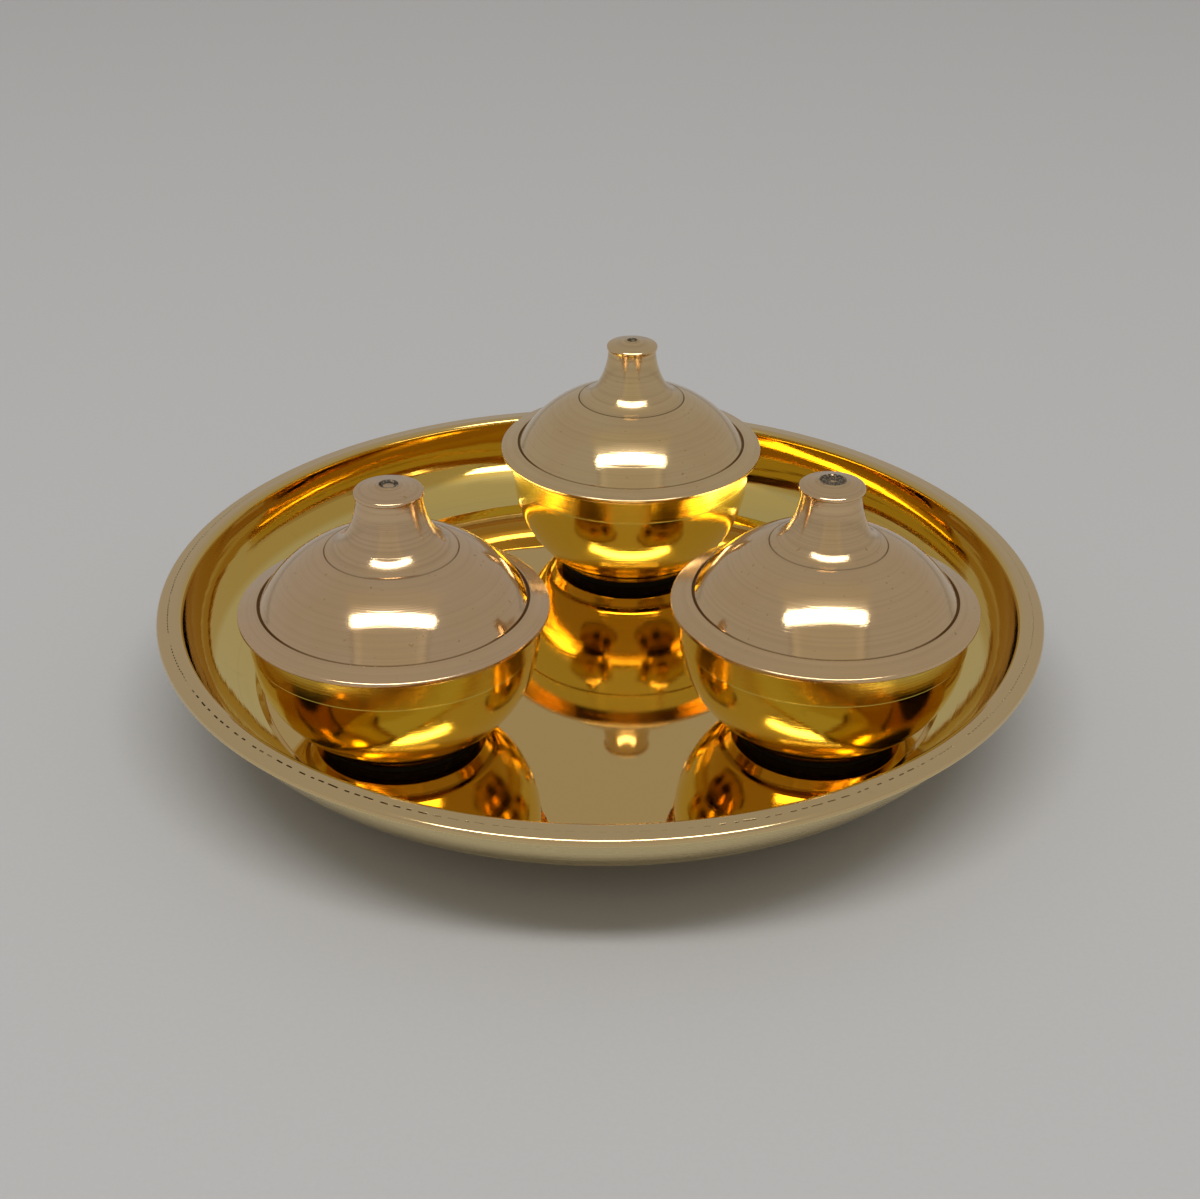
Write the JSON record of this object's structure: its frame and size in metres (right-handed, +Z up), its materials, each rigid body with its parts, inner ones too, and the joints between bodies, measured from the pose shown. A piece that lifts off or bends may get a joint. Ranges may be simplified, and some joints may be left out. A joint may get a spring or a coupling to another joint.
{
  "type": "puja plate",
  "caption": "Round polished brass offering plate with small round cups screwed to its mirror floor, each with a domed lift-off lid and knob.",
  "frame": {"origin": "on the table, on the plate's axis: the centre of the bottom of the standing ring", "axes": "+Z up along the plate's axis, +Y from the two front cups towards the rear cup, +X to the right hand of a person who faces the two front cups"},
  "size_m": [0.203, 0.203, 0.0715],
  "materials": {
    "plate_brass": "mirror polished",
    "foot_ring_brass": "plain turned",
    "cup_brass_rear": "polished",
    "cup_brass_left": "polished",
    "cup_brass_right": "polished",
    "lid_brass_rear": "turned and polished",
    "lid_brass_left": "turned and polished",
    "lid_brass_right": "turned and polished",
    "rubber_rear": "matt black",
    "rubber_left": "matt black",
    "rubber_right": "matt black",
    "screw_steel_rear": "plated",
    "screw_steel_left": "plated",
    "screw_steel_right": "plated",
    "washer_steel_rear": "plated",
    "washer_steel_left": "plated",
    "washer_steel_right": "plated",
    "nut_steel_rear": "plated",
    "nut_steel_left": "plated",
    "nut_steel_right": "plated"
  },
  "bodies": {
    "dish": {"plate": "plate_brass", "foot_ring": "foot_ring_brass", "cup_rear": "cup_brass_rear", "cup_left": "cup_brass_left", "cup_right": "cup_brass_right", "rubber_washer_rear": "rubber_rear", "rubber_washer_left": "rubber_left", "rubber_washer_right": "rubber_right", "screw_rear": "screw_steel_rear", "screw_left": "screw_steel_left", "screw_right": "screw_steel_right", "washer_rear": "washer_steel_rear", "washer_left": "washer_steel_left", "washer_right": "washer_steel_right", "nut_rear": "nut_steel_rear", "nut_left": "nut_steel_left", "nut_right": "nut_steel_right"},
    "rear_lid": {"lid_rear": "lid_brass_rear"},
    "left_lid": {"lid_left": "lid_brass_left"},
    "right_lid": {"lid_right": "lid_brass_right"}
  },
  "joints": [
    {"name": "rear_lid_lift", "type": "slide", "parent": "dish", "child": "rear_lid", "axis": [0, 0, 1], "range_m": [0, 0.04]},
    {"name": "left_lid_lift", "type": "slide", "parent": "dish", "child": "left_lid", "axis": [0, 0, 1], "range_m": [0, 0.04]},
    {"name": "right_lid_lift", "type": "slide", "parent": "dish", "child": "right_lid", "axis": [0, 0, 1], "range_m": [0, 0.04]}
  ]
}
